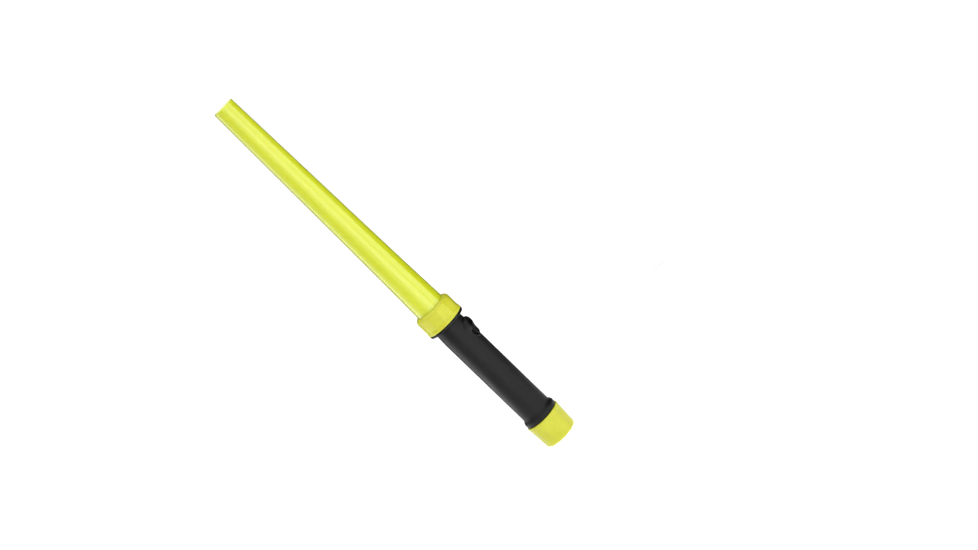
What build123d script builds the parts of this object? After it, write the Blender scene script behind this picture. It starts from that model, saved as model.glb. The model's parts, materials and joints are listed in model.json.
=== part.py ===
from build123d import *
import math
import os

# A hand-held traffic baton light that stands on its tail cap.
# The baton's axis is +Z and the origin is the middle of the tail cap's flat end. The switch faces -Y.
# Lengths are in millimetres, and every height is measured from the tail end.

# ---------------------------------------------------------------- driving dimensions
BATON_LENGTH = 457.0
RUNNING_GAP = 0.3
OVERCUT = 1.0
RADIUS_MATCH = 0.01

# screw threads of the collar and of the tail cap, both right-handed
THREAD_PITCH = 4.0
THREAD_TURNS = 1.5
THREAD_DEPTH = 0.9
THREAD_ROOT_WIDTH = 2.0
THREAD_CREST_WIDTH = 0.9
THREAD_SINK = 0.4
THREAD_CLEARANCE = 0.05

# flats moulded round the collar and the tail cap
FLAT_COUNT = 12
FLAT_REACH = 4.0
FLAT_HALF_LENGTH = 8.0
FLAT_RUNOUT = 2.3
FLAT_RUNOUT_DEPTH = 1.6
COLLAR_FLAT_ANGLE = 14.0
CAP_FLAT_ANGLE = 19.0

# battery cells, size C, nub upwards
CELL_RADIUS = 12.85
CELL_HEIGHT = 50.0
CELL_NUB_RADIUS = 3.4
CELL_NUB_HEIGHT = 2.0
CELL_EDGE = 0.8
CELL_SLEEVE_THICKNESS = 0.25
CELL_SLEEVE_INSET = 1.0
REAR_CELL_BOTTOM = 14.0
FRONT_CELL_BOTTOM = REAR_CELL_BOTTOM + CELL_HEIGHT
CELLS_TOP = FRONT_CELL_BOTTOM + CELL_HEIGHT

# barrel
BARREL_BOTTOM = 5.8
BARREL_RADIUS = 15.0
BARREL_BORE = 13.6
BARREL_STEP = 160.0
HEAD_BORE = 15.6
HEAD_RADIUS = 17.3
HEAD_TOP = 173.6
RING_BOTTOM = 158.3
RING_TOP = 161.0
RING_RADIUS = 20.9
RING_EDGE = 0.9
NECK_FILLET = 1.2
SHOULDER_BOTTOM = 26.4
SHOULDER_RADIUS = 16.2
STRIP_GROOVE_RADIUS = 14.4
STRIP_GROOVE_WIDTH = 4.6
STRIP_GROOVE_TOP = 129.0

# grip sleeve
GRIP_BOTTOM = 27.8
GRIP_TOP = 156.8
GRIP_RADIUS = 16.2
GRIP_MOUTH_RADIUS = 15.6
GRIP_TAPER_CONTROL = 147.8
GRIP_TAPER_START = 138.0
FLARE_RADIUS = 18.5
FLARE_TOP = 34.2
FLARE_CREST = 33.4
FLARE_WALL_TOP = 31.0
FLARE_FILLET = 4.0
FLARE_EDGE = 1.2

# tail cap
CAP_TOP = GRIP_BOTTOM - RUNNING_GAP
CAP_RIM_RADIUS = 19.3
CAP_RIM_BOTTOM = 25.0
CAP_RIM_EDGE = 0.6
CAP_END_RADIUS = 18.1
CAP_END_ROUND = 2.4
CAP_FLAT_END = 17.6
CAP_FLAT_TOP = 18.75
CAP_FLAT_STOP = 22.6
CAP_FLOOR = 3.0
CAP_BORE = 16.3
CAP_SEAL_BORE = 16.6
CAP_SEAL_BOTTOM = 24.4
CAP_THREAD_BOTTOM = 12.0

# collar
COLLAR_BOTTOM = RING_TOP + 0.25
COLLAR_TOP = 181.6
COLLAR_RADIUS = 20.6
COLLAR_LIP_RADIUS = 21.1
COLLAR_LIP_TOP = 162.6
COLLAR_BODY_BOTTOM = 164.4
COLLAR_LIP_EDGE = 0.6
COLLAR_SHOULDER = 177.8
COLLAR_FLAT = 20.0
COLLAR_FLAT_STOP = 165.6
COLLAR_MOUTH = 16.3
COLLAR_MOUTH_EDGE = 16.7
COLLAR_MOUTH_BEVEL = 0.4
COLLAR_DOME_RADIUS = 5.2
COLLAR_SEAT = 179.2
COLLAR_CHAMBER = 17.9
COLLAR_CHAMBER_BOTTOM = 172.8
COLLAR_BORE = 18.6
HEAD_THREAD_BOTTOM = 164.5

# wand, the long hollow cone
WAND_WALL = 1.6
WAND_BOTTOM = 176.6
WAND_FLANGE_TOP = 178.9
WAND_FLANGE_RADIUS = 17.5
WAND_BASE_RADIUS = 16.0
WAND_BEND_HEIGHT = 269.0
WAND_BEND_RADIUS = 14.06
WAND_TIP_RADIUS = 11.2
WAND_TIP_EDGE = 1.5
WAND_TIP_WALL = 2.2
GASKET_THICKNESS = 0.9
GASKET_INNER = 14.6
GASKET_FIT = 0.1

# slide switch
SWITCH_MIDDLE = 140.8
SWITCH_HALF_LENGTH = 14.8
SWITCH_HALF_WIDTH = 11.4
SWITCH_ROOT = 9.0
SWITCH_DRAFT = 20.0
SWITCH_EDGE = 1.2
SWITCH_FIT = 0.1
SWITCH_REACH = 24.0
SADDLE_END_HEIGHT = SWITCH_HALF_LENGTH + OVERCUT
SADDLE_TAIL_RADIUS = 16.9
SADDLE_DIP_LOW = 10.8
SADDLE_DIP_HIGH = 5.2
SADDLE_DIP_RADIUS = 16.7
SADDLE_BROW_HEIGHT = 0.6
SADDLE_BROW_RADIUS = 18.9
SADDLE_CREST_HEIGHT = 5.6
SADDLE_CREST_RADIUS = 19.5
SADDLE_BACK_HEIGHT = 10.6
SADDLE_HEAD_RADIUS = 17.4
THUMB_RIM = 1.2
THUMB_FLOOR_RADIUS = 15.5
THUMB_TOP = 139.2
WINDOW_BOTTOM = 130.4
WINDOW_LENGTH = 18.2
WINDOW_WIDTH = 8.0
SLIDER_LENGTH = 12.0
SLIDER_WIDTH = 7.3
SLIDER_BOTTOM = 130.8
SLIDER_TOP = SLIDER_BOTTOM + SLIDER_LENGTH
SLIDER_MIDDLE = SLIDER_BOTTOM + SLIDER_LENGTH / 2
SLIDER_TRAVEL = 5.4
SLIDER_EDGE = 0.5
SLIDER_TOE_RADIUS = 17.6
SLIDER_RUN_RADIUS = 18.5
SLIDER_HEEL_RADIUS = 19.1
SLIDER_BACK_RADIUS = 18.2
GROOVE_PITCH = 2.4
GROOVE_RADIUS = 0.9
GROOVE_CENTRE = 19.3
STEM_WIDTH = 3.8
STEM_LENGTH = 5.0
STEM_TOP = BARREL_RADIUS + 1.2
CARRIAGE_RADIUS = 13.3
CARRIAGE_FACE = 10.4
CARRIAGE_WIDTH = 9.0
CARRIAGE_LENGTH = 10.0
CARRIAGE_BOTTOM = SLIDER_MIDDLE - CARRIAGE_LENGTH / 2
CARRIAGE_TOP = SLIDER_MIDDLE + CARRIAGE_LENGTH / 2
LEAF_INSET = 0.2
LEAF_THICKNESS = 0.2
LEAF_END = 2.0
LEAF_WIPE_GAP = 0.05

# lamp holder and what it carries
HOLDER_RADIUS = 13.3
HOLDER_BOTTOM = CELLS_TOP + 0.8
HOLDER_TOP = 162.0
HOLDER_HEAD_RADIUS = 15.4
RECESS_FACE = 9.6
RECESS_HALF_WIDTH = 5.2
RECESS_BOTTOM = 127.0
RECESS_TOP = 150.0
POCKET_HALF_WIDTH = 8.0
POCKET_FRONT = -6.5
POCKET_BACK = 7.5
POCKET_BOTTOM = 118.0
HOLDER_BORE = 1.3
CONTACT_THICKNESS = 0.3
LIVE_BOTTOM = SLIDER_MIDDLE + 4.4
LIVE_LENGTH = 7.5
RIVET_HEIGHT = LIVE_BOTTOM + 4.5
RIVET_RADIUS = 0.7
RIVET_FIT = 0.05
RIVET_TAIL = 0.5
STRIP_THICKNESS = 0.4
STRIP_HALF_WIDTH = 2.0
STRIP_FIT = 0.1
STRIP_HOOK = 0.6
STRIP_CROSSING = RECESS_BOTTOM + 1.0
STRIP_PAD_TOP = SLIDER_MIDDLE + 2.4
POSITIVE_DISC = 4.5
POSITIVE_STEM = 1.2
POSITIVE_HEAD = 2.2
POSITIVE_HEAD_THICKNESS = 0.8
BOARD_BOTTOM = 119.5
BOARD_TOP = 158.0
BOARD_THICKNESS = 1.2
CHIP_SIZE = 5.0
CHIP_HEIGHT = 1.5
CHIP_BOTTOM = 132.0
CHIP_EDGE = 0.3
PIN_OFFSET = 3.5
PIN_RADIUS = 0.4
LED_BOARD_RADIUS = 12.5
LED_BOARD_TOP = 163.4
LED_SIZE = 5.0
LED_HEIGHT = 0.7
LED_DOME_RADIUS = 1.9
LAMP_SCREW_OFFSET = 10.2
LAMP_SCREW_RADIUS = 0.9
LAMP_SCREW_LENGTH = 6.0
LAMP_SCREW_HOLE = 6.5
LAMP_SCREW_HEAD = 1.7
LAMP_SCREW_HEAD_HEIGHT = 1.1
LAMP_SCREW_CROSS = 2.0
LAMP_SCREW_CROSS_WIDTH = 0.4
LAMP_SCREW_CROSS_DEPTH = 0.5

# reflector, a parabola with its focus at the lamp
REFLECTOR_FOCUS = 4.63
REFLECTOR_VERTEX = 162.2
REFLECTOR_WALL = 1.0
REFLECTOR_RIM_BOTTOM = 172.0
REFLECTOR_RIM_RADIUS = 15.4
REFLECTOR_TOP = 173.4
REFLECTOR_BASE = 164.6
LENS_RADIUS = 17.1
LENS_THICKNESS = 1.8
LENS_EDGE = 0.5

# tail spring and seals
SPRING_RADIUS = 8.5
SPRING_WIRE = 0.5
SPRING_BOTTOM = 3.6
SPRING_TURNS = 4.5
SPRING_GAP = 0.1
TAIL_CONTACT_RADIUS = 15.2
TAIL_CONTACT_THICKNESS = 0.5
SEAL_WIRE = 0.65
TAIL_SEAL_MIDDLE = 25.65
HEAD_SEAL_MIDDLE = RING_TOP + SEAL_WIRE
HEAD_GROOVE = 16.9
HEAD_GROOVE_TOP = RING_TOP + 2 * SEAL_WIRE


# ---------------------------------------------------------------- shared shapes
def ring(inner, outer, bottom, top, mode=Mode.ADD):
    """A plain ring round the baton's axis, or a disc where inner is 0."""
    with BuildSketch(Plane.XY.offset(bottom)) as section:
        Circle(outer)
        if inner > 0:
            Circle(inner, mode=Mode.SUBTRACT)
    extrude(section.sketch, amount=top - bottom, mode=mode)


def upright_box(x_low, x_high, y_low, y_high, z_low, z_high, mode=Mode.ADD):
    """A box from its lowest corner to its highest."""
    with BuildSketch(Plane.XY.offset(z_low)) as section:
        with Locations(((x_low + x_high) / 2, (y_low + y_high) / 2)):
            Rectangle(x_high - x_low, y_high - y_low)
    extrude(section.sketch, amount=z_high - z_low, mode=mode)


def turned(outline):
    """Turn a straight-sided outline, given as (radius, height) points, about the baton's axis."""
    with BuildSketch(Plane.XZ) as section:
        with BuildLine():
            Polyline(*outline, close=True)
        make_face()
    revolve(section.sketch, axis=Axis.Z)


def thread_ridge(root_radius, depth, bottom, start_angle):
    """A helical ridge on a cylinder, outwards for a positive depth and into a bore for a negative one."""
    side = math.copysign(1, depth)
    with BuildPart() as ridge:
        with BuildLine() as centre_line:
            Helix(THREAD_PITCH, THREAD_PITCH * THREAD_TURNS, root_radius)
        with BuildSketch(Plane(origin=centre_line.line @ 0, x_dir=(1, 0, 0), z_dir=centre_line.line % 0)):
            with BuildLine():
                Polyline(
                    (-side * THREAD_SINK, -THREAD_ROOT_WIDTH / 2),
                    (depth, -THREAD_CREST_WIDTH / 2),
                    (depth, THREAD_CREST_WIDTH / 2),
                    (-side * THREAD_SINK, THREAD_ROOT_WIDTH / 2),
                    close=True,
                )
            make_face()
        sweep(path=centre_line.line, is_frenet=True)
    return Location((0, 0, bottom), (0, 0, start_angle)) * ridge.part


def seal(middle_radius, middle_height):
    """An O-ring round the baton's axis."""
    with BuildSketch(Plane.XZ) as section:
        with Locations((middle_radius, middle_height)):
            Circle(SEAL_WIRE)
    revolve(section.sketch, axis=Axis.Z)


def slot_prism(bottom, length, width, depth_from, depth_to, mode=Mode.ADD):
    """A round-ended prism that stands on the switch side, its long way along the baton."""
    with BuildSketch(Plane.XZ.offset(depth_from)) as section:
        with Locations((0, bottom + length / 2)):
            SlotOverall(length, width, rotation=90)
    extrude(section.sketch, amount=depth_to - depth_from, mode=mode)


def switch_plug(margin):
    """The drafted oval plug that the switch housing is cut from, grown sideways by a margin."""
    with BuildPart() as plug:
        with BuildSketch(Plane.XZ.offset(SWITCH_ROOT)):
            with Locations((0, SWITCH_MIDDLE)):
                Ellipse(SWITCH_HALF_WIDTH + margin, SWITCH_HALF_LENGTH + margin)
        extrude(amount=SWITCH_REACH - SWITCH_ROOT, taper=SWITCH_DRAFT)
    return plug.part


# The side cut that leaves one flat on the collar. It runs out in an arc above the round lip.
with BuildPart() as collar_flat_cut:
    with BuildSketch(Plane.XZ):
        with BuildLine():
            flat_face = Line((COLLAR_FLAT, COLLAR_TOP + OVERCUT), (COLLAR_FLAT, COLLAR_FLAT_STOP))
            TangentArc(
                (COLLAR_FLAT, COLLAR_FLAT_STOP),
                (COLLAR_FLAT + FLAT_RUNOUT_DEPTH, COLLAR_FLAT_STOP - FLAT_RUNOUT),
                tangent=flat_face % 1,
            )
            Polyline(
                (COLLAR_FLAT + FLAT_RUNOUT_DEPTH, COLLAR_FLAT_STOP - FLAT_RUNOUT),
                (COLLAR_FLAT + FLAT_REACH, COLLAR_FLAT_STOP - FLAT_RUNOUT),
                (COLLAR_FLAT + FLAT_REACH, COLLAR_TOP + OVERCUT),
                (COLLAR_FLAT, COLLAR_TOP + OVERCUT),
            )
        make_face()
    extrude(amount=FLAT_HALF_LENGTH, both=True)

# The side cut that leaves one flat on the tail cap. It rounds over at the end and runs out below the rim.
with BuildPart() as cap_flat_cut:
    with BuildSketch(Plane.XZ):
        with BuildLine():
            CenterArc(
                (CAP_FLAT_END - CAP_END_ROUND, CAP_END_ROUND),
                CAP_END_ROUND,
                -90,
                90,
            )
            flat_face = Line((CAP_FLAT_END, CAP_END_ROUND), (CAP_FLAT_TOP, CAP_FLAT_STOP))
            TangentArc(
                (CAP_FLAT_TOP, CAP_FLAT_STOP),
                (CAP_FLAT_TOP + FLAT_RUNOUT_DEPTH, CAP_FLAT_STOP + FLAT_RUNOUT),
                tangent=flat_face % 1,
            )
            Polyline(
                (CAP_FLAT_TOP + FLAT_RUNOUT_DEPTH, CAP_FLAT_STOP + FLAT_RUNOUT),
                (CAP_FLAT_TOP + FLAT_REACH, CAP_FLAT_STOP + FLAT_RUNOUT),
                (CAP_FLAT_TOP + FLAT_REACH, -OVERCUT),
                (CAP_FLAT_END - CAP_END_ROUND, -OVERCUT),
                (CAP_FLAT_END - CAP_END_ROUND, 0),
            )
        make_face()
    extrude(amount=FLAT_HALF_LENGTH, both=True)


# ---------------------------------------------------------------- wand and collar
# The wand is a closed-ended hollow cone. Its lowest third widens a little more, and its flange is
# trapped under the collar.
bend_slope = (WAND_BEND_RADIUS - WAND_TIP_RADIUS) / (BATON_LENGTH - WAND_BEND_HEIGHT)
flare_control_height = (WAND_FLANGE_TOP + WAND_BEND_HEIGHT) / 2
flare_control_radius = WAND_BEND_RADIUS + bend_slope * (WAND_BEND_HEIGHT - flare_control_height)
edge_start_radius = WAND_TIP_RADIUS + bend_slope * WAND_TIP_EDGE
inner_top = BATON_LENGTH - WAND_TIP_WALL
inner_tip_radius = WAND_TIP_RADIUS + bend_slope * WAND_TIP_WALL - WAND_WALL

with BuildPart() as wand_cone:
    with BuildSketch(Plane.XZ):
        with BuildLine():
            Polyline(
                (WAND_BASE_RADIUS, WAND_FLANGE_TOP),
                (WAND_FLANGE_RADIUS, WAND_FLANGE_TOP),
                (WAND_FLANGE_RADIUS, WAND_BOTTOM),
                (0, WAND_BOTTOM),
                (0, BATON_LENGTH),
                (WAND_TIP_RADIUS - WAND_TIP_EDGE, BATON_LENGTH),
            )
            RadiusArc(
                (WAND_TIP_RADIUS - WAND_TIP_EDGE, BATON_LENGTH),
                (edge_start_radius, BATON_LENGTH - WAND_TIP_EDGE),
                WAND_TIP_EDGE,
            )
            Line((edge_start_radius, BATON_LENGTH - WAND_TIP_EDGE), (WAND_BEND_RADIUS, WAND_BEND_HEIGHT))
            Bezier(
                (WAND_BEND_RADIUS, WAND_BEND_HEIGHT),
                (flare_control_radius, flare_control_height),
                (WAND_BASE_RADIUS, WAND_FLANGE_TOP),
            )
        make_face()
    revolve(axis=Axis.Z)
    with BuildSketch(Plane.XZ):
        with BuildLine():
            Polyline(
                (WAND_BASE_RADIUS - WAND_WALL, WAND_FLANGE_TOP),
                (WAND_BASE_RADIUS - WAND_WALL, WAND_BOTTOM),
                (0, WAND_BOTTOM),
                (0, inner_top),
                (inner_tip_radius, inner_top),
                (WAND_BEND_RADIUS - WAND_WALL, WAND_BEND_HEIGHT),
            )
            Bezier(
                (WAND_BEND_RADIUS - WAND_WALL, WAND_BEND_HEIGHT),
                (flare_control_radius - WAND_WALL, flare_control_height),
                (WAND_BASE_RADIUS - WAND_WALL, WAND_FLANGE_TOP),
            )
        make_face()
    revolve(axis=Axis.Z, mode=Mode.SUBTRACT)

with BuildPart() as wand_gasket:
    ring(GASKET_INNER, WAND_FLANGE_RADIUS - GASKET_FIT, WAND_BOTTOM - GASKET_THICKNESS, WAND_BOTTOM)

# The collar is a ring nut with a domed shoulder, twelve flats and a round lip.
with BuildPart() as collar:
    with BuildSketch(Plane.XZ):
        with BuildLine():
            Polyline(
                (COLLAR_MOUTH_EDGE, COLLAR_TOP),
                (COLLAR_MOUTH, COLLAR_TOP - COLLAR_MOUTH_BEVEL),
                (COLLAR_MOUTH, COLLAR_SEAT),
                (COLLAR_CHAMBER, COLLAR_SEAT),
                (COLLAR_CHAMBER, COLLAR_CHAMBER_BOTTOM),
                (COLLAR_BORE, COLLAR_CHAMBER_BOTTOM),
                (COLLAR_BORE, COLLAR_BOTTOM),
                (COLLAR_LIP_RADIUS - COLLAR_LIP_EDGE, COLLAR_BOTTOM),
            )
            RadiusArc(
                (COLLAR_LIP_RADIUS - COLLAR_LIP_EDGE, COLLAR_BOTTOM),
                (COLLAR_LIP_RADIUS, COLLAR_BOTTOM + COLLAR_LIP_EDGE),
                -COLLAR_LIP_EDGE,
            )
            Line((COLLAR_LIP_RADIUS, COLLAR_BOTTOM + COLLAR_LIP_EDGE), (COLLAR_LIP_RADIUS, COLLAR_LIP_TOP))
            Polyline(
                (COLLAR_LIP_RADIUS, COLLAR_LIP_TOP),
                (COLLAR_RADIUS, COLLAR_BODY_BOTTOM),
                (COLLAR_RADIUS, COLLAR_SHOULDER),
            )
            RadiusArc(
                (COLLAR_RADIUS, COLLAR_SHOULDER),
                (COLLAR_MOUTH_EDGE, COLLAR_TOP),
                -COLLAR_DOME_RADIUS,
            )
        make_face()
    revolve(axis=Axis.Z)
    with PolarLocations(0, FLAT_COUNT, start_angle=COLLAR_FLAT_ANGLE):
        add(collar_flat_cut.part, mode=Mode.SUBTRACT)
    add(thread_ridge(COLLAR_BORE, THREAD_CLEARANCE - THREAD_DEPTH, HEAD_THREAD_BOTTOM, 180))


# ---------------------------------------------------------------- handle
# The barrel holds the cells. Its lower thread takes the tail cap and its upper thread the collar, which
# seats on the barrel's thin round ring.
with BuildPart() as barrel:
    turned(
        [
            (BARREL_BORE, BARREL_BOTTOM),
            (BARREL_RADIUS, BARREL_BOTTOM),
            (BARREL_RADIUS, SHOULDER_BOTTOM),
            (SHOULDER_RADIUS, SHOULDER_BOTTOM),
            (SHOULDER_RADIUS, GRIP_BOTTOM),
            (BARREL_RADIUS, GRIP_BOTTOM),
            (BARREL_RADIUS, RING_BOTTOM),
            (RING_RADIUS, RING_BOTTOM),
            (RING_RADIUS, RING_TOP),
            (HEAD_GROOVE, RING_TOP),
            (HEAD_GROOVE, HEAD_GROOVE_TOP),
            (HEAD_RADIUS, HEAD_GROOVE_TOP),
            (HEAD_RADIUS, HEAD_TOP),
            (HEAD_BORE, HEAD_TOP),
            (HEAD_BORE, BARREL_STEP),
            (BARREL_BORE, BARREL_STEP),
        ]
    )
    ring_edges = (
        barrel.edges()
        .filter_by(GeomType.CIRCLE)
        .filter_by(lambda e: abs(e.radius - RING_RADIUS) < RADIUS_MATCH)
    )
    fillet(ring_edges, RING_EDGE)
    neck_edge = (
        barrel.edges()
        .filter_by(GeomType.CIRCLE)
        .filter_by(lambda e: abs(e.radius - BARREL_RADIUS) < RADIUS_MATCH)
        .sort_by(Axis.Z)[-1]
    )
    fillet(neck_edge, NECK_FILLET)
    upright_box(
        -STRIP_GROOVE_WIDTH / 2,
        STRIP_GROOVE_WIDTH / 2,
        -STRIP_GROOVE_RADIUS,
        OVERCUT - BARREL_BORE,
        BARREL_BOTTOM,
        STRIP_GROOVE_TOP,
        mode=Mode.SUBTRACT,
    )
    slot_prism(
        SLIDER_MIDDLE - STEM_LENGTH / 2 - RUNNING_GAP,
        STEM_LENGTH + SLIDER_TRAVEL + 2 * RUNNING_GAP,
        STEM_WIDTH + 2 * RUNNING_GAP,
        BARREL_BORE - OVERCUT,
        BARREL_RADIUS + OVERCUT,
        mode=Mode.SUBTRACT,
    )
    add(thread_ridge(BARREL_RADIUS, THREAD_DEPTH, CAP_THREAD_BOTTOM, 0))
    add(thread_ridge(HEAD_RADIUS, THREAD_DEPTH, HEAD_THREAD_BOTTOM, 0))

# The grip is a rubber sleeve that flares at the tail cap and tapers below the ring.
with BuildPart() as grip_sleeve:
    with BuildSketch(Plane.XZ):
        with BuildLine():
            Polyline(
                (FLARE_RADIUS - FLARE_EDGE / 2, GRIP_BOTTOM),
                (BARREL_RADIUS, GRIP_BOTTOM),
                (BARREL_RADIUS, GRIP_TOP),
                (GRIP_MOUTH_RADIUS, GRIP_TOP),
            )
            Bezier(
                (GRIP_MOUTH_RADIUS, GRIP_TOP),
                (GRIP_RADIUS, GRIP_TAPER_CONTROL),
                (GRIP_RADIUS, GRIP_TAPER_START),
            )
            Line((GRIP_RADIUS, GRIP_TAPER_START), (GRIP_RADIUS, FLARE_TOP + FLARE_FILLET))
            Bezier(
                (GRIP_RADIUS, FLARE_TOP + FLARE_FILLET),
                (GRIP_RADIUS, FLARE_TOP),
                (FLARE_RADIUS - FLARE_EDGE, FLARE_TOP),
                (FLARE_RADIUS, FLARE_CREST),
                (FLARE_RADIUS, FLARE_WALL_TOP),
            )
            Bezier(
                (FLARE_RADIUS, FLARE_WALL_TOP),
                (FLARE_RADIUS, GRIP_BOTTOM),
                (FLARE_RADIUS - FLARE_EDGE / 2, GRIP_BOTTOM),
            )
        make_face()
    revolve(axis=Axis.Z)
    add(switch_plug(SWITCH_FIT), mode=Mode.SUBTRACT)

with BuildPart() as tail_seal:
    seal(BARREL_RADIUS + SEAL_WIRE, TAIL_SEAL_MIDDLE)

with BuildPart() as head_seal:
    seal(HEAD_GROOVE + SEAL_WIRE, HEAD_SEAL_MIDDLE)


# ---------------------------------------------------------------- slide switch
# The switch housing is an oval saddle on the barrel: a hood towards the wand, then a dip for the thumb.
# An oval recess in the dip leaves a thin rim and lets the slider stand clear.
saddle_low = SWITCH_MIDDLE - SADDLE_END_HEIGHT
saddle_high = SWITCH_MIDDLE + SADDLE_END_HEIGHT
with BuildPart() as thumb_recess:
    add(switch_plug(-THUMB_RIM))
    ring(0, THUMB_FLOOR_RADIUS, saddle_low, saddle_high, mode=Mode.SUBTRACT)
    ring(0, SWITCH_REACH + OVERCUT, THUMB_TOP, saddle_high + OVERCUT, mode=Mode.SUBTRACT)

with BuildPart() as switch_housing:
    add(switch_plug(0))
    with BuildSketch(Plane.XZ):
        with BuildLine():
            Spline(
                (SADDLE_TAIL_RADIUS, saddle_low),
                (SADDLE_TAIL_RADIUS, SWITCH_MIDDLE - SADDLE_DIP_LOW),
                (SADDLE_DIP_RADIUS, SWITCH_MIDDLE - SADDLE_DIP_HIGH),
                (SADDLE_BROW_RADIUS, SWITCH_MIDDLE + SADDLE_BROW_HEIGHT),
                (SADDLE_CREST_RADIUS, SWITCH_MIDDLE + SADDLE_CREST_HEIGHT),
                (SADDLE_BROW_RADIUS, SWITCH_MIDDLE + SADDLE_BACK_HEIGHT),
                (SADDLE_HEAD_RADIUS, saddle_high),
            )
            Polyline(
                (SADDLE_HEAD_RADIUS, saddle_high),
                (BARREL_RADIUS, saddle_high),
                (BARREL_RADIUS, saddle_low),
                (SADDLE_TAIL_RADIUS, saddle_low),
            )
        make_face()
    revolve(axis=Axis.Z, mode=Mode.INTERSECT)
    saddle_face = switch_housing.faces().sort_by(Axis.Y)[0]
    fillet(saddle_face.edges(), SWITCH_EDGE)
    add(thumb_recess.part, mode=Mode.SUBTRACT)
    slot_prism(WINDOW_BOTTOM, WINDOW_LENGTH, WINDOW_WIDTH, 0, SWITCH_REACH, mode=Mode.SUBTRACT)

# The slider is a narrow ridge with three finger grooves. Its stem goes through the barrel wall.
ridge_low = SLIDER_BOTTOM - OVERCUT
ridge_high = SLIDER_TOP + OVERCUT
with BuildPart() as switch_slider:
    slot_prism(SLIDER_BOTTOM, SLIDER_LENGTH, SLIDER_WIDTH, 0, SWITCH_REACH)
    with BuildSketch(Plane.XZ):
        with BuildLine():
            Spline(
                (SLIDER_TOE_RADIUS, ridge_low),
                (SLIDER_RUN_RADIUS, SLIDER_MIDDLE - GROOVE_PITCH),
                (SLIDER_RUN_RADIUS, SLIDER_MIDDLE),
                (SLIDER_HEEL_RADIUS, SLIDER_TOP - GROOVE_PITCH),
                (SLIDER_BACK_RADIUS, ridge_high),
            )
            Polyline(
                (SLIDER_BACK_RADIUS, ridge_high),
                (BARREL_RADIUS + RUNNING_GAP, ridge_high),
                (BARREL_RADIUS + RUNNING_GAP, ridge_low),
                (SLIDER_TOE_RADIUS, ridge_low),
            )
        make_face()
    revolve(axis=Axis.Z, mode=Mode.INTERSECT)
    ridge_face = switch_slider.faces().sort_by(Axis.Y)[0]
    fillet(ridge_face.edges(), SLIDER_EDGE)
    slot_prism(SLIDER_MIDDLE - STEM_LENGTH / 2, STEM_LENGTH, STEM_WIDTH, CARRIAGE_FACE, STEM_TOP)
    for groove_offset in (-GROOVE_PITCH, 0, GROOVE_PITCH):
        with BuildSketch(Plane.YZ):
            with Locations((-GROOVE_CENTRE, SLIDER_MIDDLE + groove_offset)):
                Circle(GROOVE_RADIUS)
        extrude(amount=SLIDER_WIDTH, both=True, mode=Mode.SUBTRACT)

# The carriage is the block behind the barrel wall that the slider's stem plugs into.
with BuildPart() as switch_carriage:
    ring(0, CARRIAGE_RADIUS, CARRIAGE_BOTTOM, CARRIAGE_TOP)
    upright_box(
        -CARRIAGE_WIDTH / 2,
        CARRIAGE_WIDTH / 2,
        -CARRIAGE_RADIUS,
        -CARRIAGE_FACE,
        CARRIAGE_BOTTOM,
        CARRIAGE_TOP,
        mode=Mode.INTERSECT,
    )
    slot_prism(
        SLIDER_MIDDLE - STEM_LENGTH / 2,
        STEM_LENGTH,
        STEM_WIDTH,
        CARRIAGE_FACE - OVERCUT,
        CARRIAGE_RADIUS + OVERCUT,
        mode=Mode.SUBTRACT,
    )

# A bowed leaf under the carriage, whose two ends wipe the fixed contacts.
leaf_low = CARRIAGE_BOTTOM + LEAF_INSET
leaf_high = CARRIAGE_TOP - LEAF_INSET
leaf_wipe = RECESS_FACE + CONTACT_THICKNESS + LEAF_WIPE_GAP
with BuildPart() as switch_leaf:
    with BuildSketch(Plane.YZ.offset(LEAF_INSET - STRIP_HALF_WIDTH)):
        with BuildLine():
            Polyline(
                (-CARRIAGE_FACE, leaf_low + LEAF_END),
                (-CARRIAGE_FACE, leaf_high - LEAF_END),
                (-leaf_wipe - LEAF_THICKNESS, leaf_high),
                (-leaf_wipe, leaf_high),
                (LEAF_THICKNESS - CARRIAGE_FACE, leaf_high - LEAF_END - LEAF_THICKNESS),
                (LEAF_THICKNESS - CARRIAGE_FACE, leaf_low + LEAF_END + LEAF_THICKNESS),
                (-leaf_wipe, leaf_low),
                (-leaf_wipe - LEAF_THICKNESS, leaf_low),
                close=True,
            )
        make_face()
    extrude(amount=2 * (STRIP_HALF_WIDTH - LEAF_INSET))

# The live contact is a pad on the lamp holder with a rivet into the pocket behind it.
with BuildPart() as switch_contact:
    upright_box(
        -STRIP_HALF_WIDTH,
        STRIP_HALF_WIDTH,
        -RECESS_FACE - CONTACT_THICKNESS,
        -RECESS_FACE,
        LIVE_BOTTOM,
        LIVE_BOTTOM + LIVE_LENGTH,
    )
    with BuildSketch(Plane.XZ.offset(-POCKET_FRONT - RIVET_TAIL)):
        with Locations((0, RIVET_HEIGHT)):
            Circle(RIVET_RADIUS)
    extrude(amount=RECESS_FACE + POCKET_FRONT + RIVET_TAIL + CONTACT_THICKNESS / 2)

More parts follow.
